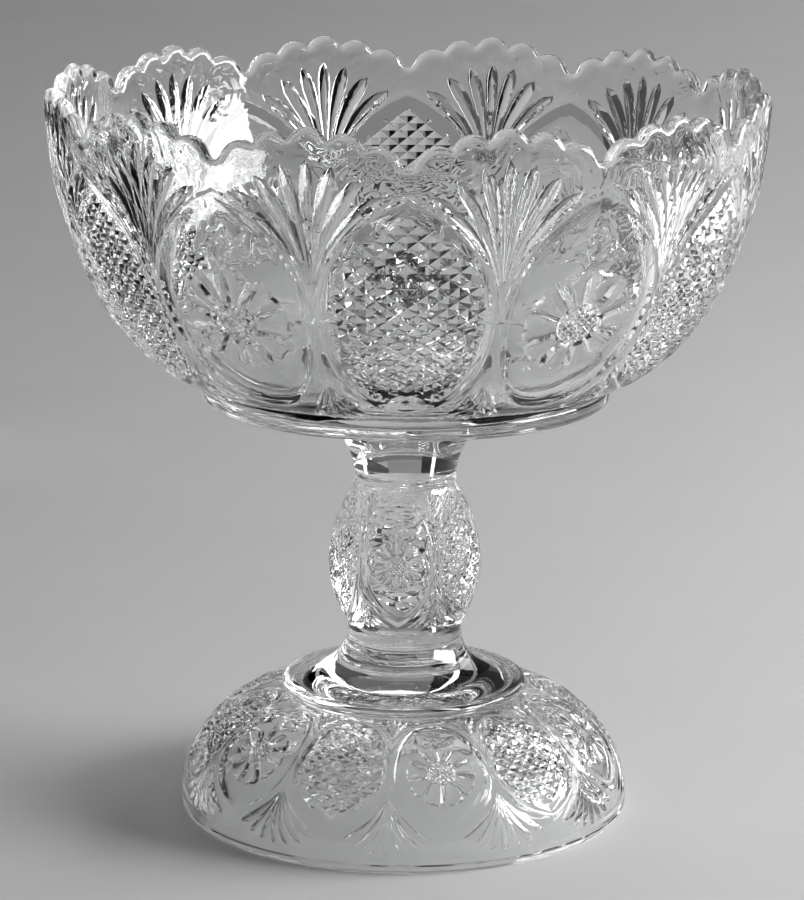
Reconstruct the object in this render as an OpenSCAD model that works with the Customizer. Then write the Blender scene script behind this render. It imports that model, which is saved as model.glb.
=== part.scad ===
// Footed compote bowl of pressed clear glass.
// A deep round bowl with a lobed and scalloped rim stands on a thick base disc.
// The disc is joined by a flared neck to a knopped stem, which rises from a collar
// on a hollow domed foot. Everything is round about the Z axis, apart from the rim and
// from the panels and fans that are pressed into the bowl and the foot.
// The origin is the centre of the circle on which the foot rests, and +Z is up.

/* [Bowl] */
// Outer radius of the bowl at its rim
rim_r = 108; // [95:0.1:125]
// Radius at which the flat bottom turns into the curved side
bottom_r = 53.7; // [45:0.1:57]
// Height from the base disc to the notches between the rim's lobes
notch_h = 80.5; // [65:0.1:100]
// Thickness of the bowl's wall
wall_t = 4.5; // [3:0.1:7]
// Thickness of the bowl's floor
floor_t = 5; // [3:0.1:8]
// Drop of the side curve below the top of the base disc, where the disc cuts it off
curve_drop = 1; // [0.5:0.1:2]

/* [Rim] */
// Number of lobes round the rim
lobe_count = 12; // [9:1:15]
// Height of a lobe's highest scallop over the notches
lobe_h = 10.7; // [7:0.1:14]

/* [Bowl pattern] */
// Depth to which panels and flutes are pressed into the bowl's side
pattern_depth = 1; // [0.5:0.1:1.2]
// Width of plain glass between two panels at their widest
panel_gap = 7; // [4:0.1:12]
// Height of the panels' widest place over the base disc
panel_waist_h = 37.3; // [34:0.1:40]
// Height of a panel's pointed upper half
panel_upper_h = 30.3; // [22:0.1:34]
// Height of a panel's rounded lower half
panel_lower_h = 29.6; // [22:0.1:31]
// Width of the ground between a daisy and the side of its panel
daisy_gap = 4.5; // [3:0.1:7]
// Width of a diamond on the bowl
diamond_w = 14.2; // [13:0.1:18]
// Height of a diamond on the bowl
diamond_h = 11.1; // [10:0.1:14]
// Height over the base disc from which the flutes of a fan spread
fan_apex_h = 44; // [38:0.1:50]
// Height of plain glass between a fan and the notches
fan_top_gap = 1; // [0.6:0.1:3]
// Width of plain glass between two fans at their tips
fan_gap = 5.5; // [3:0.1:9]

/* [Base disc] */
// Outer radius of the disc under the bowl
disc_r = 62; // [60:0.1:70]
// Thickness of the disc
disc_t = 6; // [5:0.1:9]
// Rounding of the disc's edge
disc_edge_r = 2.4; // [1:0.1:2.5]

/* [Neck] */
// Radius of the neck where it joins the stem
neck_r = 15.6; // [12:0.1:18]
// Radius of the neck where it meets the base disc
neck_top_r = 27; // [20:0.1:35]
// Height of the neck
neck_h = 22.3; // [15:0.1:35]

/* [Stem knop] */
// Greatest radius of the knop
knop_r = 23.4; // [20:0.1:30]
// Height of the knop above its widest place
knop_upper_h = 25.8; // [20:0.1:35]
// Height of the knop below its widest place
knop_lower_h = 18.5; // [14:0.1:30]
// Radius of the knop at its lower end
knop_foot_r = 18; // [17.6:0.1:19.5]
// Height of the plain band over the knop
upper_band_h = 3.2; // [2:0.1:8]
// Height of the plain band under the knop
lower_band_h = 2; // [1:0.1:8]

/* [Collar] */
// Radius of the stem where it rises from the collar
stem_r = 17.4; // [14:0.1:17.5]
// Outer radius of the collar disc
collar_r = 37.6; // [32:0.1:45]
// Height of the collar disc's edge
collar_edge_h = 4; // [3:0.1:6]
// Height of the flare from the collar disc up to the stem
flare_h = 15.7; // [10:0.1:25]

/* [Foot] */
// Outer radius of the foot at its widest place
foot_r = 69; // [62:0.1:80]
// Height of the foot from the table to the collar
foot_h = 37.3; // [30:0.1:50]
// Height of the rounded lip on which the foot rests
foot_lip_h = 4; // [3:0.1:6]
// Width by which the lip rounds in towards the table
foot_lip_in = 2.5; // [1.5:0.1:2.8]
// Thickness of the foot's glass
foot_wall_t = 5; // [4.5:0.1:7]

/* [Foot pattern] */
// Number of panels round the foot
foot_panel_count = 12; // [8:2:14]
// Depth to which the panels are pressed into the foot
foot_pattern_depth = 0.6; // [0.4:0.1:0.8]
// Angle on the dome, from the lip up, at which the panels are widest
foot_panel_tilt = 45; // [43:0.5:47]
// Width of plain glass between two panels at their widest
foot_panel_gap = 4.6; // [3:0.1:7]
// Length of a panel's rounded half towards the collar
foot_panel_upper = 17.5; // [13:0.1:18]
// Length of a panel's pointed half towards the lip
foot_panel_lower = 13.2; // [10:0.1:14]
// Width of the ground between a daisy and the side of its panel
foot_daisy_gap = 2.3; // [1.5:0.1:4]
// Width of a diamond on the foot
foot_diamond_w = 6.8; // [5.5:0.1:9]
// Height of a diamond on the foot
foot_diamond_h = 5.3; // [4.5:0.1:7]

/* [Hidden] */
glass = [0.82, 0.86, 0.88, 0.55];
joint_glass = [0.66, 0.74, 0.80, 0.60];
$fn = 96;

// Steps along a long curve and along a small rounding
curve_steps = 20;
edge_steps = 6;

// Heights of the places where the pieces meet, from the table up
collar_z = foot_h;
knop_z = collar_z + collar_edge_h + flare_h;
neck_z = knop_z + lower_band_h + knop_lower_h + knop_upper_h + upper_band_h;
disc_z = neck_z + neck_h;
bowl_z = disc_z + disc_t;
notch_z = bowl_z + notch_h;
top_z = notch_z + lobe_h;

// Run past a face by each cut
overrun = 1;

// Powers of the neck's and the knop's curves
neck_power = 1.45;
knop_power = 1.8;

// Five rounded scallops on each lobe, placed from its middle: their places and radii
// are shares of half a lobe's width, and their tops are shares of the lobe's height
half_lobe = rim_r * sin(180 / lobe_count);
scallop_place_shares = [-0.7, -0.37, 0, 0.37, 0.7];
scallop_r_shares = [0.245, 0.207, 0.207, 0.207, 0.245];
scallop_top_shares = [0.56, 0.86, 1, 0.86, 0.56];

// Points on an arc of an ellipse about a centre, from one angle to another
function arc(centre, radii, from, to, steps) =
    [for (i = [0:steps])
        let (a = from + (to - from) * i / steps)
        [centre[0] + radii[0] * cos(a), centre[1] + radii[1] * sin(a)]];

// Points on a curve whose radius changes with a power of the height, from one point to another
function power_curve(start, end, power, steps) =
    [for (i = [0:steps])
        let (t = i / steps)
        [start[0] + (end[0] - start[0]) * pow(t, power), start[1] + (end[1] - start[1]) * t]];

// Side curves of the bowl: parts of two ellipses centred at the height of the lobes' tops,
// with their half heights, the angles at which they pass the notches, and their half widths
side_centre = [bottom_r, top_z];
outer_half_h = top_z - bowl_z + curve_drop;
inner_half_h = top_z - bowl_z - floor_t;
outer_notch_angle = -asin(lobe_h / outer_half_h);
inner_notch_angle = -asin(lobe_h / inner_half_h);
outer_radii = [(rim_r - bottom_r) / cos(outer_notch_angle), outer_half_h];
inner_radii = [(rim_r - wall_t - bottom_r) / cos(inner_notch_angle), inner_half_h];
// Angle at which the outer curve meets the base disc
disc_angle = -asin((top_z - bowl_z) / outer_half_h);

// Radius and height at which the bowl's panels are widest, and half their width there
waist_sine = (top_z - bowl_z - panel_waist_h) / outer_half_h;
waist_r = bottom_r + outer_radii[0] * cos(asin(waist_sine));
panel_half = waist_r * sin(180 / lobe_count) - panel_gap / 2;

// Shares that shape the pattern: the bluntness of a panel's point, the reach of a daisy's
// petals across their width, its eye and the groove round it, and the part of a diamond
// that stands between its grooves
panel_corner_share = 0.54;
petal_count = 10;
petal_reach_shares = [0.5, 0.93, 1, 0.97, 1, 0.93];
eye_share = 0.36;
eye_groove_share = 0.42;
diamond_share = 0.74;
panel_steps = 8;

// A flute's outline: shares of its length, and of its width, from its narrow end round its tip
flute_count = 7;
flute_shares = [[0.25, 0.25], [0.8, 0.8], [0.94, 0.6], [1, 0], [0.94, -0.6], [0.8, -0.8], [0.25, -0.25]];
flute_width_share = 0.84;
fan_drop_share = 0.1;
flute_pitch = (half_lobe - fan_gap / 2) * 2 / flute_count;

// Half width of a panel at a share of the height of its upper or lower half
function panel_edge(half, corner, climb) =
    sqrt(pow(half + corner, 2) - pow(climb, 2) * (pow(half + corner, 2) - pow(corner, 2))) - corner;

// Outline of a panel about its widest place, pointed above and rounded below
function panel_outline(half, upper, lower) =
    let (corner = half * panel_corner_share)
    concat(
        [for (i = [0:panel_steps]) let (c = sin(90 * i / panel_steps))
            [panel_edge(half, corner, c), upper * c]],
        [for (i = [1:panel_steps]) let (c = cos(90 * i / panel_steps))
            [-panel_edge(half, corner, c), upper * c]],
        [for (i = [1:panel_steps]) let (c = sin(90 * i / panel_steps))
            [-panel_edge(half, 0, c), -lower * c]],
        [for (i = [1:panel_steps - 1]) let (c = cos(90 * i / panel_steps))
            [panel_edge(half, 0, c), -lower * c]]);

// Whether a spot lies in a panel
function in_panel(spot, half, upper, lower) =
    let (climb = spot[1] > 0 ? spot[1] / upper : -spot[1] / lower)
    let (corner = spot[1] > 0 ? half * panel_corner_share : 0)
    climb < 1 && abs(spot[0]) < panel_edge(half, corner, climb);

// Stencil of a diamond panel: its ground, with the diamonds left standing
module diamond_stencil(half, upper, lower, wide, high) {
    reach = diamond_share / 2 * [wide, high];
    corners = [[reach[0], 0], [0, reach[1]], [-reach[0], 0], [0, -reach[1]]];
    rows = ceil(2 * (upper + lower) / high);
    columns = ceil(2 * half / wide);
    difference() {
        polygon(panel_outline(half, upper, lower));
        for (row = [-rows:rows], column = [-columns:columns]) {
            place = [(column + (row % 2 == 0 ? 0 : 0.5)) * wide, row * high / 2];
            if (min([for (c = corners) in_panel(place + c / diamond_share, half, upper, lower) ? 1 : 0]) == 1)
                translate(place)
                    polygon(corners);
        }
    }
}

// Stencil of a daisy panel: its ground, with the petals and the eye left standing
module daisy_stencil(half, upper, lower, daisy_r) {
    last = len(petal_reach_shares);
    difference() {
        polygon(panel_outline(half, upper, lower));
        difference() {
            polygon([for (i = [0:petal_count * last - 1])
                let (a = 90 + i * 360 / petal_count / last, r = daisy_r * petal_reach_shares[i % last])
                [r * cos(a), r * sin(a)]]);
            circle(daisy_r * eye_groove_share, $fn = 24);
        }
        circle(daisy_r * eye_share, $fn = 24);
    }
}

// Stencil of a fan of flutes that spread from an apex at the origin to a height
module fan_stencil(high) {
    for (i = [0:flute_count - 1]) {
        side = i - (flute_count - 1) / 2;
        tip = [side * flute_pitch, high - fan_drop_share * flute_pitch * side * side];
        across = [tip[1], -tip[0]] / norm(tip) * flute_pitch * flute_width_share / 2;
        polygon([for (share = flute_shares) tip * share[0] + across * share[1]]);
    }
}

// All stencils of the bowl's side, run outwards from near its axis
module bowl_stencils() {
    start = bottom_r / 2;
    reach = rim_r + overrun - start;
    for (i = [0:lobe_count - 1]) {
        rotate([0, 0, i * 360 / lobe_count])
            translate([0, -start, bowl_z + panel_waist_h])
                rotate([90, 0, 0])
                    linear_extrude(reach)
                        if (i % 2 == 0)
                            diamond_stencil(panel_half, panel_upper_h, panel_lower_h, diamond_w, diamond_h);
                        else
                            daisy_stencil(panel_half, panel_upper_h, panel_lower_h, panel_half - daisy_gap);
        rotate([0, 0, (i + 0.5) * 360 / lobe_count])
            translate([0, -start, bowl_z + fan_apex_h])
                rotate([90, 0, 0])
                    linear_extrude(reach)
                        fan_stencil(notch_h - fan_apex_h - fan_top_gap);
    }
}

// Outline of one lobe: five overlapping discs, and a body that fills in between and below them
module lobe_outline() {
    last = len(scallop_place_shares) - 1;
    places = [for (share = scallop_place_shares) share * half_lobe];
    radii = [for (share = scallop_r_shares) share * half_lobe];
    heights = [for (i = [0:last]) scallop_top_shares[i] * lobe_h - radii[i]];
    intersection() {
        translate([-half_lobe, -overrun])
            square([2 * half_lobe, lobe_h + 2 * overrun]);
        union() {
            for (i = [0:last])
                translate([places[i], heights[i]])
                    circle(radii[i]);
            polygon(concat(
                [[places[0], -2 * overrun]],
                [for (i = [0:last]) [places[i], heights[i]]],
                [[places[last], -2 * overrun]]));
        }
    }
}

// Upright band of the bowl's wall from the notches up, from which the lobes are cut
module rim_band() {
    translate([0, 0, notch_z])
        rotate_extrude()
            translate([rim_r - wall_t, 0])
                square([wall_t, lobe_h + overrun]);
}

// All lobe outlines, run through the band from inside to outside
module lobe_prisms() {
    outer_end = rim_r + overrun;
    inner_end = (rim_r - wall_t) * cos(180 / lobe_count) - overrun;
    for (i = [0:lobe_count - 1])
        rotate([0, 0, (i + 0.5) * 360 / lobe_count])
            translate([0, -inner_end, notch_z])
                rotate([90, 0, 0])
                    linear_extrude(outer_end - inner_end)
                        lobe_outline();
}

// The bowl: a deep pressed shell with a flat bottom, and a rim of lobes with five scallops each.
// Its body ends at the depth of the pattern, and the stencils are cut from a skin over it.
module bowl() {
    ground_radii = outer_radii - [pattern_depth, pattern_depth];
    under_radii = ground_radii - [pattern_depth, pattern_depth];
    color(glass)
    union() {
        rotate_extrude()
            polygon(concat(
                [[0, bowl_z]],
                arc(side_centre, ground_radii, disc_angle, outer_notch_angle, curve_steps),
                arc(side_centre, inner_radii, inner_notch_angle, -90, curve_steps),
                [[0, bowl_z + floor_t]]));
        difference() {
            rotate_extrude()
                polygon(concat(
                    arc(side_centre, outer_radii, disc_angle, outer_notch_angle, curve_steps),
                    arc(side_centre, under_radii, outer_notch_angle, disc_angle, curve_steps)));
            bowl_stencils();
        }
        intersection() {
            rim_band();
            lobe_prisms();
        }
    }
}

// The base disc: a thick round plate with a rounded edge, under the bowl's bottom
module base_disc() {
    edge_x = disc_r - disc_edge_r;
    edge_radii = [disc_edge_r, disc_edge_r];
    color(glass)
    rotate_extrude()
        polygon(concat(
            [[0, disc_z]],
            arc([edge_x, disc_z + disc_edge_r], edge_radii, -90, 0, edge_steps),
            arc([edge_x, bowl_z - disc_edge_r], edge_radii, 0, 90, edge_steps),
            [[0, bowl_z]]));
}

// The neck: the plain flared glass that joins the bowl's disc to the stem
module neck() {
    color(joint_glass)
    rotate_extrude()
        polygon(concat(
            [[0, neck_z]],
            power_curve([neck_r, neck_z], [neck_top_r, disc_z], neck_power, curve_steps),
            [[0, disc_z]]));
}

// The knop: the swelling of the stem, with a plain band at each end
module knop() {
    low_z = knop_z + lower_band_h;
    mid_z = low_z + knop_lower_h;
    high_z = mid_z + knop_upper_h;
    lower_curve = power_curve([knop_r, mid_z], [knop_foot_r, low_z], knop_power, curve_steps);
    upper_curve = power_curve([knop_r, mid_z], [neck_r, high_z], knop_power, curve_steps);
    color(glass)
    rotate_extrude()
        polygon(concat(
            [[0, knop_z], [stem_r, knop_z], [stem_r, low_z]],
            [for (i = [0:curve_steps]) lower_curve[curve_steps - i]],
            [for (i = [1:curve_steps]) upper_curve[i]],
            [[neck_r, neck_z], [0, neck_z]]));
}

// The collar: a thin round flange on top of the foot, with the stem flaring up from it
module collar() {
    edge_r = collar_edge_h / 2;
    flange_r = collar_r - edge_r;
    color(glass)
    rotate_extrude()
        polygon(concat(
            [[0, collar_z]],
            arc([flange_r, collar_z + edge_r], [edge_r, edge_r], -90, 90, 2 * edge_steps),
            arc([flange_r, knop_z], [flange_r - stem_r, flare_h], -90, -180, curve_steps),
            [[0, knop_z]]));
}

// Centre and radii of the foot's dome, and of the hollow inside it
dome_r = collar_r - collar_edge_h;
dome_centre = [dome_r, foot_lip_h];
dome_radii = [foot_r - dome_r, foot_h - foot_lip_h];
hollow_radii = dome_radii - [foot_wall_t, foot_wall_t];

// All stencils of the foot, run square to the dome where the panels are widest
module foot_stencils() {
    waist = dome_centre + [dome_radii[0] * cos(foot_panel_tilt), dome_radii[1] * sin(foot_panel_tilt)];
    half = waist[0] * sin(180 / foot_panel_count) - foot_panel_gap / 2;
    for (i = [0:foot_panel_count - 1])
        rotate([0, 0, i * 360 / foot_panel_count])
            translate([0, -waist[0], waist[1]])
                rotate([90 - foot_panel_tilt, 0, 0])
                    rotate([0, 0, 180])
                        translate([0, 0, -foot_panel_upper / 2])
                            linear_extrude(foot_panel_upper)
                                if (i % 2 == 0)
                                    diamond_stencil(half, foot_panel_lower, foot_panel_upper,
                                                    foot_diamond_w, foot_diamond_h);
                                else
                                    daisy_stencil(half, foot_panel_lower, foot_panel_upper,
                                                  half - foot_daisy_gap);
}

// The foot: a hollow dome of even thickness that rests on a narrow flat ring inside a rounded lip.
// Its body ends at the depth of the pattern, and the stencils are cut from a skin over it.
module foot() {
    depth = [foot_pattern_depth, foot_pattern_depth];
    color(glass)
    union() {
        rotate_extrude()
            polygon(concat(
                arc([foot_r - foot_lip_in, foot_lip_h], [foot_lip_in, foot_lip_h], -90, 0, edge_steps),
                arc(dome_centre, dome_radii - depth, 0, 90, curve_steps),
                [[0, foot_h - foot_pattern_depth], [0, foot_lip_h + hollow_radii[1]]],
                arc(dome_centre, hollow_radii, 90, 0, curve_steps),
                [[dome_r + hollow_radii[0], 0]]));
        difference() {
            rotate_extrude()
                polygon(concat(
                    arc(dome_centre, dome_radii, 0, 90, curve_steps),
                    [[0, foot_h], [0, foot_h - foot_pattern_depth * 2]],
                    arc(dome_centre, dome_radii - 2 * depth, 90, 0, curve_steps)));
            foot_stencils();
        }
    }
}

bowl();
base_disc();
neck();
knop();
collar();
foot();
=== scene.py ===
import math
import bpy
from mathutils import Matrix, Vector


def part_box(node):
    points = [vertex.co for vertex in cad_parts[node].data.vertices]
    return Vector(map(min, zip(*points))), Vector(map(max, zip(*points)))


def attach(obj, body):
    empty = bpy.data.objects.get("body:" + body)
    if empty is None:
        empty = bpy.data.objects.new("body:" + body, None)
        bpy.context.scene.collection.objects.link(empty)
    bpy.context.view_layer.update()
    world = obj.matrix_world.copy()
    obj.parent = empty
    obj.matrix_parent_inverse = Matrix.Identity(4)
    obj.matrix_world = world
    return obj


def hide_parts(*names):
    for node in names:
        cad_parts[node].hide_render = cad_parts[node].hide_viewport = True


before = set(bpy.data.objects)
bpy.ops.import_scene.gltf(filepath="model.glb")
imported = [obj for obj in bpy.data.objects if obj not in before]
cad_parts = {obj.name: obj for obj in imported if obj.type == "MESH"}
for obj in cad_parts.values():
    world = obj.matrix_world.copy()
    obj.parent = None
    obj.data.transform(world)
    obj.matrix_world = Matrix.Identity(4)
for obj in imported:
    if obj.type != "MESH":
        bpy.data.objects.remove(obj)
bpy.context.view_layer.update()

from types import SimpleNamespace

import bmesh
import bpy
import numpy as np
from mathutils import Matrix, Vector
from mathutils.geometry import delaunay_2d_cdt

# Camera
# A long lens on a stand a little over a metre in front of the bowl and just above
# its rim. It is tilted down on the object and leans by a fraction of a degree.
PICTURE_HIGH = 900
FOCAL_PIXELS = 3634
SENSOR_HIGH = 24
CAMERA_PLACE, TILT_DOWN, LEAN = (-0.0011, -1.077, 0.3679), 13.36, 0.38
camera_data = bpy.data.cameras.new("long_lens")
camera_data.sensor_fit = "VERTICAL"
camera_data.sensor_height = SENSOR_HIGH
camera_data.lens = FOCAL_PIXELS * SENSOR_HIGH / PICTURE_HIGH
camera_data.clip_start = 0.05
camera_data.clip_end = 30
camera = bpy.data.objects.new("camera", camera_data)
bpy.context.collection.objects.link(camera)
camera.matrix_world = (Matrix.Translation(CAMERA_PLACE)
                       @ Matrix.Rotation(math.radians(90 - TILT_DOWN), 4, "X")
                       @ Matrix.Rotation(math.radians(LEAN), 4, "Z"))
bpy.context.scene.camera = camera

# Studio
# A round sweep of pale matt paper carries the object, and a window on the right lights it.
# Cards outside the view glow in the tones of cloths, a wall, a ceiling and white strips; only the glass
# shows them, as painted reflections and painted highlights.
def linear(hex_code):
    """Linear colour from an sRGB hex code."""
    shares = [int(hex_code[i:i + 2], 16) / 255 for i in (1, 3, 5)]
    return [s / 12.92 if s <= 0.04045 else ((s + 0.055) / 1.055) ** 2.4 for s in shares] + [1]


def add_node(tree, kind, inputs=None, **settings):
    """Adds a node, sets it up, and fills its inputs with values or with other nodes' outputs."""
    made = tree.nodes.new(kind)
    for key, value in settings.items():
        setattr(made, key, value)
    for key, value in (inputs or {}).items():
        if isinstance(value, bpy.types.NodeSocket):
            tree.links.new(value, made.inputs[key])
        else:
            made.inputs[key].default_value = value
    return made


def add_piece(name, bm):
    """Makes an object at the origin from a bmesh."""
    mesh = bpy.data.meshes.new(name)
    bm.to_mesh(mesh)
    bm.free()
    piece = bpy.data.objects.new(name, mesh)
    bpy.context.collection.objects.link(piece)
    return piece


MM = 0.001


def spin_profile(profile, steps):
    """Bmesh of a profile of radius and height in mm, spun about the Z axis."""
    bm = bmesh.new()
    line = [bm.verts.new((r * MM, 0, z * MM)) for r, z in profile]
    edges = [bm.edges.new(pair) for pair in zip(line, line[1:])]
    bmesh.ops.spin(bm, geom=line + edges, cent=(0, 0, 0), axis=(0, 0, 1), dvec=(0, 0, 0),
                   angle=math.tau, steps=steps, use_merge=True, use_duplicate=False)
    bmesh.ops.remove_doubles(bm, verts=bm.verts, dist=1e-6)
    bmesh.ops.recalc_face_normals(bm, faces=bm.faces)
    return bm


FLOOR_R, BEND_R, WALL_TOP, SWEEP_STEPS = 2600, 700, 2600, 96
flat = [(r, 0) for r in (0, 300, 900, 1800)]
bend = [(FLOOR_R + BEND_R * math.sin(a), BEND_R * (1 - math.cos(a)))
        for a in np.linspace(0, math.pi / 2, 13)]
sweep = add_piece("paper_sweep", spin_profile(flat + bend + [(FLOOR_R + BEND_R, WALL_TOP)], SWEEP_STEPS))
for face in sweep.data.polygons:
    face.use_smooth = True
paper = bpy.data.materials.new("matt_paper_sweep")
paper.use_nodes = True
tree = paper.node_tree
shader = tree.nodes["Principled BSDF"]
shader.inputs["Roughness"].default_value = 0.85
shader.inputs["Specular IOR Level"].default_value = 0.2
# Pulp gives the paper a faint cloudy tone, in clouds about 70 mm across
CLOUDS_PER_METRE = 14.0
place = add_node(tree, "ShaderNodeTexCoord").outputs["Object"]
pulp = add_node(tree, "ShaderNodeTexNoise", {"Vector": place, "Scale": CLOUDS_PER_METRE, "Detail": 4.0})
tone = add_node(tree, "ShaderNodeMix", {
    0: pulp.outputs["Fac"], 6: linear("#C6C6C6"), 7: linear("#CCCCCC")}, data_type="RGBA")
tree.links.new(tone.outputs[2], shader.inputs["Base Color"])
sweep.data.materials.append(paper)


def add_softbox(name, place, aim, width, height, watts):
    """Hangs a soft rectangular light that faces a point."""
    data = bpy.data.lights.new(name, "AREA")
    data.shape = "RECTANGLE"
    data.size, data.size_y, data.energy = width, height, watts
    lamp = bpy.data.objects.new(name, data)
    bpy.context.collection.objects.link(lamp)
    lamp.location = place
    lamp.rotation_euler = (Vector(aim) - Vector(place)).to_track_quat("-Z", "Y").to_euler()
    lamp.visible_camera = False


# The window, the ceiling's lamp, and a farther window that lights the paper behind
add_softbox("window_right", (1.26, -0.12, 0.56), (0, 0, 0.15), 1.15, 0.52, 32)
add_softbox("overhead", (0.2, 1.6, 2.2), (0, 1.4, 0), 1.6, 1.2, 7)
add_softbox("window_far_right", (1.5, 1.9, 0.9), (0, 1.9, 0), 2.2, 0.6, 16)


def upright(start, end, low, high):
    """Corners of a card that stands between two floor points."""
    return (*start, low), (*end, low), (*end, high), (*start, high)


def add_card(name, corners, hex_code, strength=1.0):
    """Puts up a card that glows evenly in one tone, a painted reflection which only the glass shows: it
    lights and shades nothing.
    """
    bm = bmesh.new()
    bm.faces.new([bm.verts.new(p) for p in corners])
    card = add_piece(name, bm)
    surface = bpy.data.materials.new(name)
    surface.use_nodes = True
    surface.cycles.emission_sampling = "NONE"
    tree = surface.node_tree
    glow = add_node(tree, "ShaderNodeEmission", {"Color": linear(hex_code), "Strength": strength})
    tree.links.new(glow.outputs[0], tree.nodes["Material Output"].inputs["Surface"])
    card.data.materials.append(surface)
    card.visible_camera = card.visible_diffuse = card.visible_shadow = False


# Cards that glow in set tones, for painted reflections: two dark cloths, the table's edge and the paper's
# end, the room, and two white strips
add_card("painted_reflection_cloth_left", upright((-0.17, -0.5), (-0.52, 2.5), 0.001, 1.2), "#060606")
add_card("painted_reflection_cloth_right", upright((0.27, 0.4), (0.56, 2.5), 0.001, 0.3), "#484848")
add_card("painted_reflection_table_edge", upright((0.95, -0.9), (0.95, 0.35), 0.001, 0.2), "#8C8C8C")
add_card("painted_reflection_paper_end", upright((-0.6, 2.5), (0.6, 2.5), 0.001, 0.75), "#848484")
add_card("painted_reflection_wall_behind", upright((-1.5, 2.6), (1.5, 2.6), 0.75, 2.4), "#686868")
add_card("ceiling", ((-2, -2, 2.4), (2, -2, 2.4), (2, 3, 2.4), (-2, 3, 2.4)), "#8A8A8A")
# The two white strips glow at twice their tone, and put painted highlights into the glass
add_card("painted_highlight_strip_left", upright((-0.175, 0.42), (-0.185, 0.52), 0.0, 0.6), "#FFFFFF", 2.0)
add_card("painted_highlight_strip_right", upright((0.24, 0.28), (0.25, 0.35), 0.0, 0.5), "#FFFFFF", 2.0)
# The room itself gives a little light from all sides
world = bpy.data.worlds.new("dim_room")
world.use_nodes = True
world.node_tree.nodes["Background"].inputs["Color"].default_value = linear("#6E6E6E")
world.node_tree.nodes["Background"].inputs["Strength"].default_value = 0.05
bpy.context.scene.world = world
# Tones reach the picture unchanged, without a film's curve
bpy.context.scene.view_settings.view_transform = "Standard"
# Light goes through four walls of glass and back before it reaches the backdrop
bpy.context.scene.cycles.max_bounces = 24
bpy.context.scene.cycles.transmission_bounces = 20
bpy.context.scene.cycles.glossy_bounces = 16

# Foot
# A hollow dome of clear pressed glass on a rounded lip. The mould's engraved inside
# gives it twelve oval panels, in turn diamond points and a daisy, with fans between.
def maths(tree, operation, *values):
    """Output of a maths node that works on values or on other nodes' outputs."""
    return add_node(tree, "ShaderNodeMath", dict(enumerate(values)), operation=operation).outputs[0]


glass = bpy.data.materials.new("soda_lime_glass_pressed_and_fire_polished")
glass.use_nodes = True
tree = glass.node_tree
shader = tree.nodes["Principled BSDF"]
# Soda-lime glass is almost colourless, and its moulded faces are fire-polished to a gloss
shader.inputs["Base Color"].default_value = linear("#FAFBFB")
shader.inputs["Roughness"].default_value = 0.0
shader.inputs["IOR"].default_value = 1.52
shader.inputs["Transmission Weight"].default_value = 1.0
place = add_node(tree, "ShaderNodeTexCoord").outputs["Object"]
# Fire polish leaves the skin faintly wavy, so that lines seen through it waver
WAVE_W, WAVE_H = 9 * MM, 0.06 * MM
wave = add_node(tree, "ShaderNodeTexNoise", {"Vector": place, "Scale": 1 / WAVE_W, "Detail": 1.5})
roll = maths(tree, "MULTIPLY", wave.outputs["Fac"], WAVE_H)
# Chill marks from the cool mould lie in curved lines like a map's contours, plainest by the rim
MARKS_W, MARKS_TURNS = 16 * MM, 70.0
MARKS_FROM_Z, MARKS_FULL_Z = 196 * MM, 212 * MM
MARKS_LOW_H, MARKS_RIM_H = 0.002 * MM, 0.012 * MM
slow = add_node(tree, "ShaderNodeTexNoise", {"Vector": place, "Scale": 1 / MARKS_W, "Detail": 1.0})
contours = maths(tree, "SINE", maths(tree, "MULTIPLY", slow.outputs["Fac"], MARKS_TURNS))
height = add_node(tree, "ShaderNodeSeparateXYZ", {0: place}).outputs["Z"]
near_rim = add_node(tree, "ShaderNodeMapRange", {
    "Value": height, "From Min": MARKS_FROM_Z, "From Max": MARKS_FULL_Z,
    "To Min": MARKS_LOW_H, "To Max": MARKS_RIM_H})
skin = maths(tree, "ADD", roll, maths(tree, "MULTIPLY", contours, near_rim.outputs[0]))
bump = add_node(tree, "ShaderNodeBump", {"Height": skin, "Strength": 1.0, "Distance": 1.0})
tree.links.new(bump.outputs["Normal"], shader.inputs["Normal"])
# Each surface lets about a third of the lamps' light straight through to the paper behind it
shadow = add_node(tree, "ShaderNodeLightPath").outputs["Is Shadow Ray"]
clear = add_node(tree, "ShaderNodeBsdfTransparent", {"Color": linear("#A0A0A0")})
whole = add_node(tree, "ShaderNodeMixShader", {0: shadow, 1: shader.outputs[0], 2: clear.outputs[0]})
# The sections are fused, so the glass has no surface where they meet inside it, out to
# these radii in mm
JOINT_REACHES = {"collar": 33.4, "knop": 17.3, "neck": 15.2, "base_disc": 26.8, "bowl": 59.3}
JOINT_HALF = 0.15 * MM
from_axis = add_node(tree, "ShaderNodeVectorMath", {0: place, 1: (1, 1, 0)}, operation="MULTIPLY")
radius = add_node(tree, "ShaderNodeVectorMath", {0: from_axis.outputs[0]}, operation="LENGTH")
fused = 0.0
for node, reach in JOINT_REACHES.items():
    level = maths(tree, "COMPARE", height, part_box(node)[0][2], JOINT_HALF)
    within = maths(tree, "LESS_THAN", radius.outputs["Value"], reach * MM)
    fused = maths(tree, "MAXIMUM", fused, maths(tree, "MULTIPLY", level, within))
unbent = add_node(tree, "ShaderNodeBsdfTransparent", {"Color": (1, 1, 1, 1)})
whole = add_node(tree, "ShaderNodeMixShader", {0: fused, 1: whole.outputs[0], 2: unbent.outputs[0]})
tree.links.new(whole.outputs[0], tree.nodes["Material Output"].inputs["Surface"])


CREASE_ANGLE = 27


def finish_glass(piece, node):
    for face in piece.data.polygons:
        face.use_smooth = True
    piece.data.set_sharp_from_angle(angle=math.radians(CREASE_ANGLE))
    piece.data.materials.append(glass)
    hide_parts(node)
    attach(piece, "root")


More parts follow.
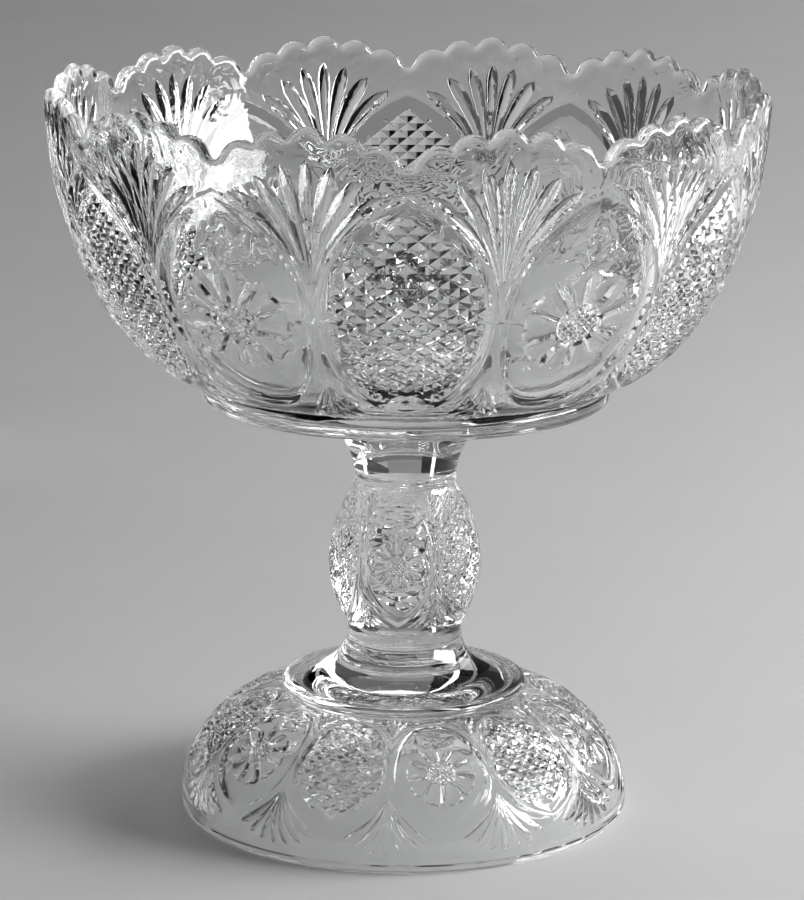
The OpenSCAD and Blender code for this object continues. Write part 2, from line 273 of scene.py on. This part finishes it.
def arc(centre, radii, start, end, steps):
    """Points on an ellipse's arc between two angles in degrees."""
    return [(centre[0] + radii[0] * math.cos(a), centre[1] + radii[1] * math.sin(a))
            for a in np.radians(np.linspace(start, end, steps + 1))]


def side_track(profile):
    """Radius, height, outward direction and unrolled height in degrees along a spun side,
    from its first point to its last."""
    rz = np.array(profile, float)
    steps = np.diff(rz, axis=0)
    lengths = np.hypot(*steps.T)
    unrolled = np.r_[0, np.cumsum(np.degrees(lengths / (rz[1:, 0] + rz[:-1, 0]) * 2))]
    tangent = np.gradient(rz, np.r_[0, np.cumsum(lengths)], axis=0)
    tangent /= np.hypot(*tangent.T)[:, None]
    return SimpleNamespace(r=rz[:, 0], z=rz[:, 1], out_r=tangent[:, 1], out_z=-tangent[:, 0], at=unrolled)


def place_on(track, turn, at, lift):
    """Points in metres on a spun side, from turns and unrolled heights in degrees and lifts in mm."""
    r = np.interp(at, track.at, track.r) + lift * np.interp(at, track.at, track.out_r)
    z = np.interp(at, track.at, track.z) + lift * np.interp(at, track.at, track.out_z)
    a = np.radians(turn)
    return np.column_stack((r * np.sin(a), -r * np.cos(a), z)) * MM


# The pattern is drawn flat, in units of which thirty make a panel's pitch. Depths are
# shares of the body's relief, and none stands over the outer surface. A bead's steps lead
# from the plain glass outside it, over its crest at 0, down to the panel's field at 1.
PITCH = 30
ACROSS = np.linspace(-PITCH / 2, PITCH * 1.5, 61)
BEAD_STEPS = [-0.5, -0.3, -0.12, 0.0, 0.14, 0.36, 0.65, 1.0]
BEAD_DEPTHS = [-0.25, -0.17, -0.03, 0.0, -0.05, -0.3, -0.62, -0.9]
PLAIN_DEPTH, FIELD_DEPTH = BEAD_DEPTHS[0], BEAD_DEPTHS[-1]
POINT_TOP, FLOWER_RING = -0.2, -1.5
FAR_OUTSIDE, FADE, SNAP = -4.0, 1.5, 2e-3
PETALS, PETAL_REACH, PETAL_EDGE, PETAL_PILLOW = 10, 10.4, 0.7, 0.75
PETAL_SHOULDER, PETAL_NOTCH, NOTCH_HALF = 0.86, 0.035, 0.22
FLOWER_EYE, EYE_SIDE, EYE_DOME = 3.75, -0.55, 0.45
EYE_PITCH, EYE_GROOVE, EYE_CUT = 1.07, 0.22, 0.45
LEAF_LIFT, STIPPLE, FLUTE_SCOOP = 0.3, 0.16, 0.95
# Outlines of the stippled leaves round a daisy, measured from its middle
LEAVES = [
    [(-5.9, 11.9), (-3.2, 13.2), (-1.6, 15.2), (-1.3, 13.2), (-0.9, 11.5), (-3.4, 12.2)],
    [(-0.5, 11.6), (-0.9, 14.6), (-1.2, 15.6), (0.9, 18.2),
     (3.2, 15.6), (7.2, 12.2), (4.6, 11.4), (2.4, 12.0)],
    [(-11.0, -7.6), (-10.2, -5.9), (-8.6, -5.9), (-7.3, -7.4), (-9.2, -7.0)],
]
# Each body has a plan. Of a panel's bead it holds the half width, the height of its widest
# place, its ends, the shape of its upper and lower arch, and the width of a step at its
# side, top and bottom. Then come the height from which the diamonds are counted, the
# daisy's middle and the way it points, the relief in mm, the spacing of plain points, a
# diamond's half width and half height, the depths of its small and large grooves, and each
# fan with its apex, the tips of half its flutes, and their bend.


def panel_half(y, step, plan):
    """Half width at a height of the outline that lies a number of steps inside a panel's bead."""
    half = plan.half - plan.step[0] * step
    up = y >= plan.waist
    reach = np.where(up, plan.top - plan.waist - plan.step[1] * step,
                     plan.waist - plan.bottom - plan.step[2] * step)
    climb = np.abs(y - plan.waist) / reach
    corner = np.where(up, plan.corners[0], plan.corners[1])
    arch = np.sqrt(np.maximum(0, (half + corner) ** 2 - climb ** 2 * ((half + corner) ** 2 - corner ** 2)))
    return arch - corner - np.maximum(0, climb - 1)


def steps_inside(x, y, plan):
    """How many steps inside a panel's bead points lie, found by halving."""
    low, high = np.full(len(x), FAR_OUTSIDE), np.full(len(x), plan.half / plan.step[0])
    for _ in range(26):
        middle = (low + high) / 2
        inside = panel_half(y, middle, plan) >= np.abs(x)
        low, high = np.where(inside, middle, low), np.where(inside, high, middle)
    return low


def diamond_depth(x, y, plan):
    """Depth in a field of small pyramids, four to each large diamond between the deeper grooves."""
    wide, tall = plan.diamond
    a = (y - plan.diamonds_from) / tall + x / wide
    b = (y - plan.diamonds_from) / tall - x / wide
    depth = []
    for across in (a, b):
        nearest = np.round(across)
        away = 1 - 2 * np.abs(across - nearest)
        groove = np.where(nearest % 2 == 0, plan.grooves[1], plan.grooves[0])
        depth.append((away, POINT_TOP - (POINT_TOP - groove) * away))
    both = np.isclose(depth[0][0], depth[1][0], atol=1e-3)
    first = np.where(depth[0][0] > depth[1][0], depth[0][1], depth[1][1])
    return np.where(both, np.minimum(depth[0][1], depth[1][1]), first)


def petal_phase(x, y):
    """Distance from a flower's middle, and place across a petal from -1 to 1."""
    turn = (np.degrees(np.arctan2(y, x)) - 90) * PETALS / 360
    return np.hypot(x, y), 2 * (turn - np.floor(turn)) - 1


def petal_tip(phase):
    """Reach of a petal across its width, rounded and notched in the middle."""
    rounded = (1 - np.abs(phase) ** 3.2) ** 0.6
    return PETAL_REACH * (PETAL_SHOULDER + 0.14 * rounded - PETAL_NOTCH * np.exp(-(phase / NOTCH_HALF) ** 2))


def in_outline(x, y, outline):
    """Whether points lie inside a closed outline."""
    inside = np.zeros(len(x), bool)
    for (x0, y0), (x1, y1) in zip(outline, outline[1:] + outline[:1]):
        if y0 != y1:
            inside ^= ((y0 > y) != (y1 > y)) & (x < x0 + (y - y0) * (x1 - x0) / (y1 - y0))
    return inside


def flower_depth(x, y, plan):
    """Depth in a daisy's field: pillowed petals, a domed and cross-cut eye, and stippled leaves."""
    y = (y - plan.flower_at) * plan.flower_up
    away, phase = petal_phase(x, y)
    edge = np.clip((petal_tip(phase) - away) / PETAL_EDGE, 0, 1)
    across = 1 - np.abs(phase) ** 3
    depth = FIELD_DEPTH + PETAL_PILLOW * np.sin(edge * math.pi / 2) * (1.3 * across - 0.3)
    # A deep ring lies between the petals and the eye
    fall = np.clip((away - FLOWER_EYE) / PETAL_EDGE, 0, 1)
    depth = np.where(away < FLOWER_EYE + PETAL_EDGE, FLOWER_RING + (depth - FLOWER_RING) * fall, depth)
    dome = EYE_SIDE + EYE_DOME * np.sqrt(np.clip(1 - (away / FLOWER_EYE) ** 2, 0, 1))
    from_groove = np.minimum(*[np.abs(c / EYE_PITCH % 1 - 0.5)
                               for c in ((x + y) * math.sqrt(0.5), (x - y) * math.sqrt(0.5))])
    cut = np.clip(1 - from_groove / EYE_GROOVE, 0, 1)
    depth = np.where(away < FLOWER_EYE - 0.05, dome - EYE_CUT * cut, depth)
    grains = np.random.default_rng(7)
    stipple = grains.uniform(-STIPPLE, STIPPLE, len(x))
    for leaf in LEAVES:
        depth = np.where(in_outline(x, y, leaf), FIELD_DEPTH + LEAF_LIFT + stipple, depth)
    return depth


def fan_lines(apex, tips, bend):
    """Lines and depths of one half of a fan of leaf-shaped flutes, from its middle outwards."""
    # Places along a flute, from just outside the apex to its tip
    t = np.linspace(0.1, 1, 15) ** 0.85
    middles = []
    for tip_x, tip_y in tips:
        guide = (bend * tip_x, apex + 0.6 * (tip_y - apex))
        middles.append(np.column_stack((2 * t * (1 - t) * guide[0] + t * t * tip_x,
                                        (1 - t) ** 2 * apex + 2 * t * (1 - t) * guide[1] + t * t * tip_y)))
    ridges = [(a + b) / 2 for a, b in zip(middles, middles[1:])]
    ridges.append(2 * middles[-1] - ridges[-1])
    mirror = np.array([-1, 1])
    # A flute widens with its fan, and rounds off to its tip over its last six tenths
    spread = np.sqrt(np.clip(1 - np.maximum(0, (t - 0.4) / 0.6) ** 2.4, 0, 1))[:, None]
    lines = []
    for i, middle in enumerate(middles):
        inner = ridges[i - 1] if i else ridges[0] * mirror
        for share in (-1, -0.55, 0, 0.55, 1):
            if i == 0 and share < 0:
                continue
            side = (ridges[i] if share > 0 else inner) - middle
            width = np.hypot(*side.T)[:, None] * spread
            line = middle + abs(share) * side * spread
            scoop = width[:, 0] * (1 - abs(share) ** 1.8)
            lines.append((line, PLAIN_DEPTH - FLUTE_SCOOP * scoop))
    return lines


def press_pattern(plan, rim):
    """Flat pattern of a diamond panel and a daisy panel with their fans, as points, depths
    and triangles. The rim is the line that closes it above, from left to right."""
    points, depths, edges = [], [], []

    def draw(line, depth=None, closed=False):
        first = len(points)
        points.extend(map(tuple, line))
        depths.extend([math.nan] * len(line) if depth is None else depth)
        edges.extend((i, i + 1) for i in range(first, len(points) - 1))
        if closed:
            edges.append((len(points) - 1, first))

    left, right = ACROSS[0], ACROSS[-1]
    border = [(x, 0) for x in ACROSS] + list(rim[::-1])
    draw(border, [0.0] * len(border), closed=True)
    # Fans over and under the meeting of two panels
    for middle in (left, PITCH / 2, right):
        for side in (-1, 1):
            if left <= middle + side <= right:
                for fan in plan.fans:
                    for line, depth in fan_lines(*fan):
                        draw(line * (side, 1) + (middle, 0), depth)
    # Beads round the panels
    for centre in (0, PITCH):
        for step in BEAD_STEPS:
            down = plan.bottom + plan.step[2] * step
            up = plan.top - plan.step[1] * step
            tall = (1 - np.cos(np.linspace(0, math.pi, 61))) / 2 * (up - down) + down
            half = np.maximum(0, panel_half(tall, step, plan))
            draw(np.r_[np.column_stack((half, tall)), np.column_stack((-half, tall))[-2:0:-1]] + (centre, 0),
                 closed=True)
    # Grooves and tips of the diamond points, from a little inside the bead
    inner = 1.06
    steps = range(-24, 25)

    def corner(a, b):
        return (a - b) / 2 * plan.diamond[0], plan.diamonds_from + (a + b) / 2 * plan.diamond[1]

    def depth_inside(spot):
        return steps_inside(np.array([spot[0]]), np.array([spot[1]]), plan)[0]

    seen = {(a, b): depth_inside(corner(a, b)) for a in steps for b in steps
            if plan.bottom - 4 < corner(a, b)[1] < plan.top + 4 and abs(corner(a, b)[0]) < plan.half + 4}
    for (a, b), here in seen.items():
        for other in ((a + 1, b), (a, b + 1)):
            there = seen.get(other, FAR_OUTSIDE)
            if max(here, there) < inner:
                continue
            ends = [np.array(corner(a, b)), np.array(corner(*other))]
            if min(here, there) < inner:
                inside, outside = ends if here > there else ends[::-1]
                for _ in range(12):
                    middle = (inside + outside) / 2
                    inside, outside = (middle, outside) if depth_inside(middle) > inner else (inside, middle)
                ends = [inside, ends[0] if here > there else ends[1]]
            draw(ends)
        tip = corner(a + 0.5, b + 0.5)
        if depth_inside(tip) > inner:
            draw([tip])
    # The daisy's petals, the ring round its eye, and lines along the petals
    def in_flower(line):
        return np.array(line) * (1, plan.flower_up) + (PITCH, plan.flower_at)

    turns = np.radians(np.arange(0, 360, 360 / PETALS / 12) + 90)
    phase = petal_phase(np.cos(turns), np.sin(turns))[1]
    for shrink in (1, 0.955, 0.9):
        reach = petal_tip(phase) * shrink
        draw(in_flower(np.column_stack((reach * np.cos(turns), reach * np.sin(turns)))), closed=True)
    for reach in (FLOWER_EYE - 0.08, FLOWER_EYE + 0.05, FLOWER_EYE + PETAL_EDGE):
        draw(in_flower(np.column_stack((reach * np.cos(turns), reach * np.sin(turns)))), closed=True)
    for petal in range(PETALS):
        for share in (-0.13, -0.05, 0, 0.05, 0.13, 0.28, 0.5, 0.72):
            a = math.radians(90 + (petal + share) * 360 / PETALS)
            reach = PETAL_REACH * (0.8 if abs(share) < 0.2 else PETAL_SHOULDER)
            draw(in_flower([(r * math.cos(a), r * math.sin(a))
                            for r in np.linspace(FLOWER_EYE + 0.8, reach, 7)]))
    # The grooves across its eye
    for groove in range(-4, 4):
        for share in (0.5 - EYE_GROOVE, 0.5, 0.5 + EYE_GROOVE):
            across = (groove + share) * EYE_PITCH
            reach = math.sqrt(max(0, (FLOWER_EYE - 0.25) ** 2 - across ** 2))
            if reach > 0.5:
                for side in (1, -1):
                    draw(in_flower([((across + end) * math.sqrt(0.5), (across - end) * side * math.sqrt(0.5))
                                    for end in (-reach, reach)]))
    # The leaves and the grains of their stipple
    grains = np.random.default_rng(3)
    for leaf in LEAVES:
        draw(in_flower(leaf), closed=True)
        low, high = np.min(leaf, axis=0), np.max(leaf, axis=0)
        spots = grains.uniform(low, high, (int(np.prod(high - low) * 5), 2))
        for spot in spots[in_outline(*spots.T, leaf)]:
            draw(in_flower([spot]))
    # Plain points fill what is left, clear of all the lines and of the panels' fields
    drawn = np.array(points)
    rise = plan.grid * math.sqrt(0.75)
    rim_x, rim_y = np.array(rim).T
    for row in range(1, int(max(rim_y) / rise) + 1):
        shift = plan.grid / 2 * (row % 2)
        for x in np.r_[left, np.arange(left + plan.grid - shift, right - 0.4 * plan.grid, plan.grid), right]:
            y = row * rise
            if y > np.interp(x, rim_x, rim_y) - 0.6 * plan.grid:
                continue
            gap = 0.35 if x in (left, right) else 0.6
            if np.min(np.hypot(*(drawn - (x, y)).T)) < gap * plan.grid:
                continue
            if abs(x) < plan.half and depth_inside((x, y)) > 0.9:
                continue
            draw([(x, y)])
    flat, _, faces, origins, _, _ = delaunay_2d_cdt([Vector(p) for p in points], edges, [], 1, SNAP)
    flat = np.array([tuple(p) for p in flat])
    x, y = flat.T
    from_middle = np.where(x > PITCH / 2, x - PITCH, x)
    inside = steps_inside(from_middle, y, plan)
    lift = np.interp(inside, BEAD_STEPS, BEAD_DEPTHS)
    field = np.where(x > PITCH / 2, flower_depth(x - PITCH, y, plan), diamond_depth(x, y, plan))
    lift = np.where(inside > 1.01, field, lift)
    for i, sources in enumerate(origins):
        given = [depths[j] for j in sources if not math.isnan(depths[j])]
        if given:
            lift[i] = max(given)
    return flat, lift, faces


WELD = 0.004 * MM


def press_side(track, plan, rim, turn, flip):
    """Bmesh of a patterned side all the way round, closed along its upright seams. The turn
    is the first panel's, in degrees, and flip hangs the pattern from the side's end."""
    flat, lift, faces = press_pattern(plan, rim)
    scale = 360 / plan.panels / PITCH
    at = flat[:, 1] * scale
    if flip:
        at = track.at[-1] - at
    # The relief fades where the side ends and joins its neighbour
    room = np.minimum(flat[:, 1], np.min([np.hypot(*(flat - spot).T) for spot in np.array(rim)], axis=0))
    lift = lift * plan.relief * np.clip(room / FADE, 0, 1)
    bm = bmesh.new()
    for pair in range(plan.panels // 2):
        spots = place_on(track, flat[:, 0] * scale + turn + pair * 720 / plan.panels, at, lift)
        verts = [bm.verts.new(p) for p in spots]
        for face in faces:
            bm.faces.new([verts[i] for i in face])
    bmesh.ops.remove_doubles(bm, verts=bm.verts, dist=WELD)
    return bm


def add_rows(bm, rows):
    """Joins closed rows of points with faces, each row to the next."""
    rings = [[bm.verts.new(p) for p in row] for row in rows]
    for lower, upper in zip(rings, rings[1:]):
        for i in range(len(lower)):
            bm.faces.new((lower[i - 1], lower[i], upper[i], upper[i - 1]))
    return rings


def close_glass(name, bm):
    """Merges, closes and turns outwards the shell of a glass piece, and makes it an object."""
    bmesh.ops.remove_doubles(bm, verts=bm.verts, dist=WELD)
    bmesh.ops.dissolve_degenerate(bm, dist=1e-7, edges=bm.edges)
    bmesh.ops.holes_fill(bm, edges=[e for e in bm.edges if e.is_boundary], sides=0)
    bmesh.ops.recalc_face_normals(bm, faces=bm.faces)
    return add_piece(name, bm)


def spin_onto(bm, profile, turns, dents=None):
    """Adds a spun shell to a bmesh, with points at the given turns in degrees.
    Dents holds depths in mm at those turns, by the number of the profile's point."""
    rows = []
    for i, (r, z) in enumerate(profile):
        if r > 0:
            radii = r - (dents or {}).get(i, np.zeros(len(turns)))
            rows.append([(r_here * math.sin(a) * MM, -r_here * math.cos(a) * MM, z * MM)
                         for r_here, a in zip(radii, np.radians(turns))])
    rings = add_rows(bm, rows)
    for (r, z), ring in ((profile[0], rings[0]), (profile[-1], rings[-1])):
        if r == 0:
            pole = bm.verts.new((0, 0, z * MM))
            for i in range(len(ring)):
                bm.faces.new((ring[i - 1], ring[i], pole))


foot_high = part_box("foot")[1]
foot_r, foot_top = foot_high[0] / MM, foot_high[2] / MM
LIP_H, LIP_IN, FOOT_WALL = 4.0, 2.5, 5.0
FOOT_TURN = 11 - PITCH
dome_r = 33.6
dome = arc((dome_r, LIP_H), (foot_r - dome_r, foot_top - LIP_H), 0, 90, 120)
foot_track = side_track(dome)
foot_plan = SimpleNamespace(
    panels=12, half=14.2, waist=34.5, top=50.4, bottom=9.4, corners=(7, 0), step=(1.3, 2.2, 1.8),
    diamonds_from=48.2, flower_at=33.6, flower_up=-1, relief=1.0, grid=1.5,
    diamond=(4.2, 3.3), grooves=(-0.7, -1.1),
    fans=[(40.4, [(0, 56.4), (3.9, 56.0), (7.8, 55.0), (11.2, 53.2)], 0.16),
          (19.5, [(0, 2.6), (3.4, 3.2), (7.0, 5.0)], 0.35)])
foot_end = foot_track.at[-1]
foot_rim = [(x, foot_end) for x in ACROSS]
bm = press_side(foot_track, foot_plan, foot_rim, FOOT_TURN, True)
turns = np.arange(FOOT_TURN - 15, FOOT_TURN + 345, 1.0)
# A fine broken groove runs round the lip, where the mould's base ring met its body
GROOVE_POINT = 3
lip = arc((foot_r - LIP_IN, LIP_H), (LIP_IN, LIP_H), 0, -90, 20)
breaks = np.random.default_rng(5).uniform(0.1, 0.6, 120)
groove = np.interp(turns, turns[::3], breaks)
hollow = arc((dome_r, LIP_H), (foot_r - FOOT_WALL - dome_r, foot_top - FOOT_WALL - LIP_H), 0, 90, 24)
ceiling = [(dome_r * share, hollow[-1][1]) for share in (0.7, 0.35, 0)]
spin_onto(bm, lip + [(foot_r - FOOT_WALL, 0)] + hollow + ceiling, turns, {GROOVE_POINT: groove})
spin_onto(bm, [(dome_r, foot_top), (dome_r * 0.6, foot_top), (0, foot_top)], turns)
foot = close_glass("foot_glass", bm)
finish_glass(foot, "foot")

# Collar
# A thick clear disc on top of the foot, drawn up in a hollow curve to the stem. It is
# pressed smooth, and reaches a tenth of a millimetre into its neighbours.
collar_low, collar_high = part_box("collar")
collar_r, collar_bottom, collar_top = collar_high[0] / MM, collar_low[2] / MM, collar_high[2] / MM
STEM_R, COLLAR_EDGE_R, JOINT, ROUND_STEPS = 17.4, 2.0, 0.1, 192
flare = (collar_r - COLLAR_EDGE_R - STEM_R, collar_top - collar_bottom - 2 * COLLAR_EDGE_R)
edge_centre = (collar_r - COLLAR_EDGE_R, collar_bottom + COLLAR_EDGE_R)
collar_profile = (
    [(r, collar_bottom - JOINT) for r in (0, 14, 28)]
    + arc(edge_centre, (COLLAR_EDGE_R, COLLAR_EDGE_R), -90, 90, 14)
    + arc((collar_r - COLLAR_EDGE_R, collar_top), flare, 270, 180, 28)[1:]
    + [(r, collar_top + JOINT) for r in (STEM_R, 9, 0)])
collar = add_piece("collar_glass", spin_profile(collar_profile, ROUND_STEPS))
finish_glass(collar, "collar")

# Knop
# The swollen middle of the stem, of solid glass, with a plain band at each end. Its six
# tall panels, in turn diamond points and a daisy, are pressed by the mould's sides.
knop_low, knop_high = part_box("knop")
knop_r, knop_bottom, knop_top = knop_high[0] / MM, knop_low[2] / MM, knop_high[2] / MM
KNOP_FOOT_R, NECK_R, LOWER_BAND, UPPER_BAND = 18.0, 15.6, 2.0, 3.2
KNOP_WAIST, KNOP_POWER, KNOP_TURN = 77.5, 1.8, -66
t = np.linspace(1, 0, 40)
lower = np.column_stack((knop_r - (knop_r - KNOP_FOOT_R) * t ** KNOP_POWER,
                         KNOP_WAIST - (KNOP_WAIST - knop_bottom - LOWER_BAND) * t))
upper = np.column_stack((knop_r - (knop_r - NECK_R) * t ** KNOP_POWER,
                         KNOP_WAIST + (knop_top - UPPER_BAND - KNOP_WAIST) * t))[::-1]
knop_track = side_track(np.r_[lower, upper[1:]])
knop_end = knop_track.at[-1] / 2
knop_plan = SimpleNamespace(
    panels=6, half=14.2, waist=32.5, top=62.3, bottom=4.0, corners=(10, 10), step=(1.3, 2.6, 2.6),
    diamonds_from=58.0, flower_at=31.5, flower_up=1, relief=0.65, grid=1.9,
    diamond=(3.7, 2.9), grooves=(-0.85, -1.2),
    fans=[(46.0, [(0, 62.8), (3.4, 62.2), (7.2, 61.6), (10.8, 61.4)], 0.16),
          (20.0, [(0, 2.2), (3.4, 2.6), (7.2, 3.2), (10.8, 3.4)], 0.16)])
knop_rim = [(x, knop_end) for x in ACROSS]
bm = press_side(knop_track, knop_plan, knop_rim, KNOP_TURN, False)
turns = np.arange(KNOP_TURN + 30, KNOP_TURN + 390, 2.0)
spin_onto(bm, [(0, knop_bottom), (9, knop_bottom), (STEM_R, knop_bottom),
               (STEM_R, knop_bottom + LOWER_BAND - 0.3), (KNOP_FOOT_R, knop_bottom + LOWER_BAND)], turns)
spin_onto(bm, [(NECK_R, knop_top - UPPER_BAND), (NECK_R, knop_top - 0.5),
               (NECK_R - 0.3, knop_top), (8, knop_top), (0, knop_top)], turns)
knop = close_glass("knop_glass", bm)
finish_glass(knop, "knop")

# Neck
# A short plain flare of solid glass under the base disc. It is pressed in one with the
# bowl, and its lower end is fused hot to the stem.
neck_low, neck_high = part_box("neck")
neck_r, neck_bottom, neck_top = neck_high[0] / MM, neck_low[2] / MM, neck_high[2] / MM
NECK_POWER = 1.45
neck_profile = [(r, neck_bottom - JOINT) for r in (0, 8, NECK_R)]
neck_profile += [(NECK_R + (neck_r - NECK_R) * t ** NECK_POWER, neck_bottom + (neck_top - neck_bottom) * t)
                 for t in np.linspace(0, 1, 26)]
neck_profile += [(r, neck_top + JOINT) for r in (neck_r, 14, 0)]
neck = add_piece("neck_glass", spin_profile(neck_profile, ROUND_STEPS))
finish_glass(neck, "neck")

# Base disc
# A thick plain disc of clear glass with a rounded edge, pressed in one with the bowl.
# Two fine seams cross its edge, where the halves of the mould met.
disc_low, disc_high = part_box("base_disc")
disc_r, disc_bottom, disc_top = disc_high[0] / MM, disc_low[2] / MM, disc_high[2] / MM
DISC_EDGE_R = 2.4
edge_radii = (DISC_EDGE_R, DISC_EDGE_R)
disc_profile = (
    [(r, disc_bottom) for r in (0, 20, 40)]
    + arc((disc_r - DISC_EDGE_R, disc_bottom + DISC_EDGE_R), edge_radii, -90, 0, 8)
    + arc((disc_r - DISC_EDGE_R, disc_top - DISC_EDGE_R), edge_radii, 0, 90, 8)
    + [(r, disc_top) for r in (40, 20, 0)])
SEAM_TURN, SEAM_HALF, SEAM_DEPTH = 16.7, 0.16, 0.25
# Points of the profile that lie round the disc's edge
EDGE_POINTS = range(5, 19)
seams = [SEAM_TURN, SEAM_TURN + 180]
by_seams = [seam + side for seam in seams for side in (-SEAM_HALF, 0, SEAM_HALF)]
turns = np.sort(np.r_[np.arange(0, 360, 1.5), by_seams])
seam_cut = np.where(np.isin(turns, seams), SEAM_DEPTH, 0.0)
bm = bmesh.new()
spin_onto(bm, disc_profile, turns, {i: seam_cut for i in EDGE_POINTS})
base_disc = close_glass("base_disc_glass", bm)
finish_glass(base_disc, "base_disc")

# Bowl
# A deep bowl of clear glass, patterned outside by the mould and smooth inside from the
# plunger. Twelve lobes of five scallops each go round its fire-polished rim.
bowl_low, bowl_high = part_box("bowl")
rim_r, bowl_bottom, rim_top = bowl_high[0] / MM, bowl_low[2] / MM, bowl_high[2] / MM
BOTTOM_R, WALL, FLOOR_T, LOBE_H, CURVE_DROP = 53.7, 4.5, 5.0, 10.7, 1.0
LOBES = 12
lobe_turn = 360 / LOBES
notch_z = rim_top - LOBE_H
inside_z = bowl_bottom + FLOOR_T


def side_curve(r_at_notch, half_h, start_z, steps):
    """Points on a side curve of the bowl from a height up to the notches."""
    wide = (r_at_notch - BOTTOM_R) / math.sqrt(1 - (LOBE_H / half_h) ** 2)
    angles = np.linspace(math.asin((start_z - rim_top) / half_h), -math.asin(LOBE_H / half_h), steps + 1)
    return [(BOTTOM_R + wide * math.cos(a), rim_top + half_h * math.sin(a)) for a in angles]


outer_half_h = rim_top - bowl_bottom + CURVE_DROP
outer_side = side_curve(rim_r, outer_half_h, bowl_bottom - JOINT, 200)
bowl_track = side_track(outer_side + [(rim_r, z) for z in np.linspace(notch_z, rim_top, 40)[1:]])
# Outline of half a lobe, from its highest scallop to the notch. Its round scallops run
# softly into each other, and into a small rounding in the notch.
half_lobe = rim_r * math.sin(math.pi / LOBES)
x = np.linspace(0, half_lobe, 1200)
ROUNDING, NOTCH_R, HALF_LOBE_POINTS = 1.5, 2.2, 29
# Place and radius of each scallop as shares of half a lobe's width, and its top as a share of its height
SCALLOPS = ((0, 0.207, 1), (0.37, 0.207, 0.86), (0.7, 0.245, 0.56))
total = np.exp(ROUNDING * (half_lobe - x) ** 2 / 2 / NOTCH_R * (x > 0.9 * half_lobe))
for place_share, r_share, top_share in SCALLOPS:
    r = r_share * half_lobe
    depth = r * r - (x - place_share * half_lobe) ** 2
    height = top_share * LOBE_H - r + np.sqrt(np.maximum(0, depth))
    total += np.where(depth > 0, np.exp(ROUNDING * height), 0)
outline = np.column_stack((x, np.log(total) / ROUNDING))
outline[:, 1] *= LOBE_H / outline[0, 1]
run = np.r_[0, np.cumsum(np.hypot(*np.diff(outline, axis=0).T))]
even = np.linspace(0, run[-1], HALF_LOBE_POINTS)
half = np.column_stack([np.interp(even, run, outline[:, i]) for i in (0, 1)])
lobe = np.r_[half[::-1] * (-1, 1), half[1:]]
# Directions away from the outline, along which the rim is rounded over
slope = np.gradient(lobe, axis=0)
slope[0, 1] = slope[-1, 1] = 0
up = np.column_stack((-slope[:, 1], slope[:, 0]))
up[1:-1] = (up[:-2] + 2 * up[1:-1] + up[2:]) / 4
up /= np.hypot(*up.T)[:, None]
BULLNOSE, BULLNOSE_STEPS = WALL / 2, 12


def lobe_row(inset):
    """Turns in degrees from the lobe's middle, and heights in mm, of the outline moved in."""
    moved = lobe - up * inset
    return np.degrees(np.arcsin(moved[:, 0] / rim_r)), notch_z + moved[:, 1]


turn, height = lobe_row(BULLNOSE)
at = np.interp(height, bowl_track.z, bowl_track.at)
middle = len(lobe) // 2
right_half = list(zip(turn[middle:] - lobe_turn / 2, at[middle:]))
whole_lobe = list(zip(turn + lobe_turn / 2, at))
left_half = list(zip(turn[:middle + 1] + lobe_turn * 1.5, at[:middle + 1]))
bowl_rim = right_half + whole_lobe[1:] + left_half[1:]
bowl_plan = SimpleNamespace(
    panels=12, half=14.2, waist=38.0, top=58.0, bottom=12.2, corners=(7, 0), step=(1.3, 2.4, 2.0),
    diamonds_from=55.6, flower_at=35.4, flower_up=1, relief=1.0, grid=1.25,
    diamond=(3.3, 2.6), grooves=(-0.95, -1.35),
    fans=[(41.4, [(0, 64.0), (4.0, 63.1), (7.9, 61.2), (11.6, 58.8)], 0.16),
          (24.0, [(0, 3.5), (3.4, 4.2), (7.0, 6.0)], 0.35)])
bm = press_side(bowl_track, bowl_plan, bowl_rim, 0, False)
# The rim is rounded over from the outside to the inside
rows = []
for a in np.linspace(0, 180, BULLNOSE_STEPS + 1):
    turn, height = lobe_row(BULLNOSE * (1 - math.sin(math.radians(a))))
    r = rim_r - BULLNOSE + BULLNOSE * math.cos(math.radians(a))
    # The first row lies on the pattern's own edge
    wide = np.interp(height, bowl_track.z, bowl_track.r) if a == 0 else np.full(len(height), r)
    rows.append([(wide[i], math.radians(turn[i] + lobe_turn / 2 + lobe_turn * k), height[i])
                 for k in range(LOBES) for i in range(len(turn) - 1)])
inner_edge = rows[-1]
# Inside, the rows grow level down to this height, and go on down to the middle of the floor
LEVEL_Z = 200
inner_half_h = rim_top - bowl_bottom - FLOOR_T
lining = side_curve(rim_r - WALL, inner_half_h, inside_z + 0.001, 60) + [(rim_r - WALL, rim_top)]
lining_r, lining_z = np.array(lining).T
for share in np.linspace(0, 1, 9)[1:]:
    down = [(a, z + (LEVEL_Z - z) * share) for _, a, z in inner_edge]
    rows.append([(float(np.interp(z, lining_z, lining_r)), a, z) for a, z in down])
level = [p for p in lining[::-3] if p[1] < LEVEL_Z - 1] + [lining[0]]
for r, z in level + [(BOTTOM_R * share, inside_z) for share in (0.66, 0.33)]:
    rows.append([(r, a, z) for _, a, _ in inner_edge])
spots = [[(r * math.sin(a) * MM, -r * math.cos(a) * MM, z * MM) for r, a, z in row] for row in rows]
rings = add_rows(bm, spots)
underside = [(bowl_track.r[0] * share, bowl_bottom - JOINT) for share in (1, 0.7, 0.35, 0)]
spin_onto(bm, underside, np.arange(0, 360, 1.0) - lobe_turn / 2)
pole = bm.verts.new((0, 0, inside_z * MM))
for i in range(len(rings[-1])):
    bm.faces.new((rings[-1][i - 1], rings[-1][i], pole))
bowl = close_glass("bowl_glass", bm)
finish_glass(bowl, "bowl")
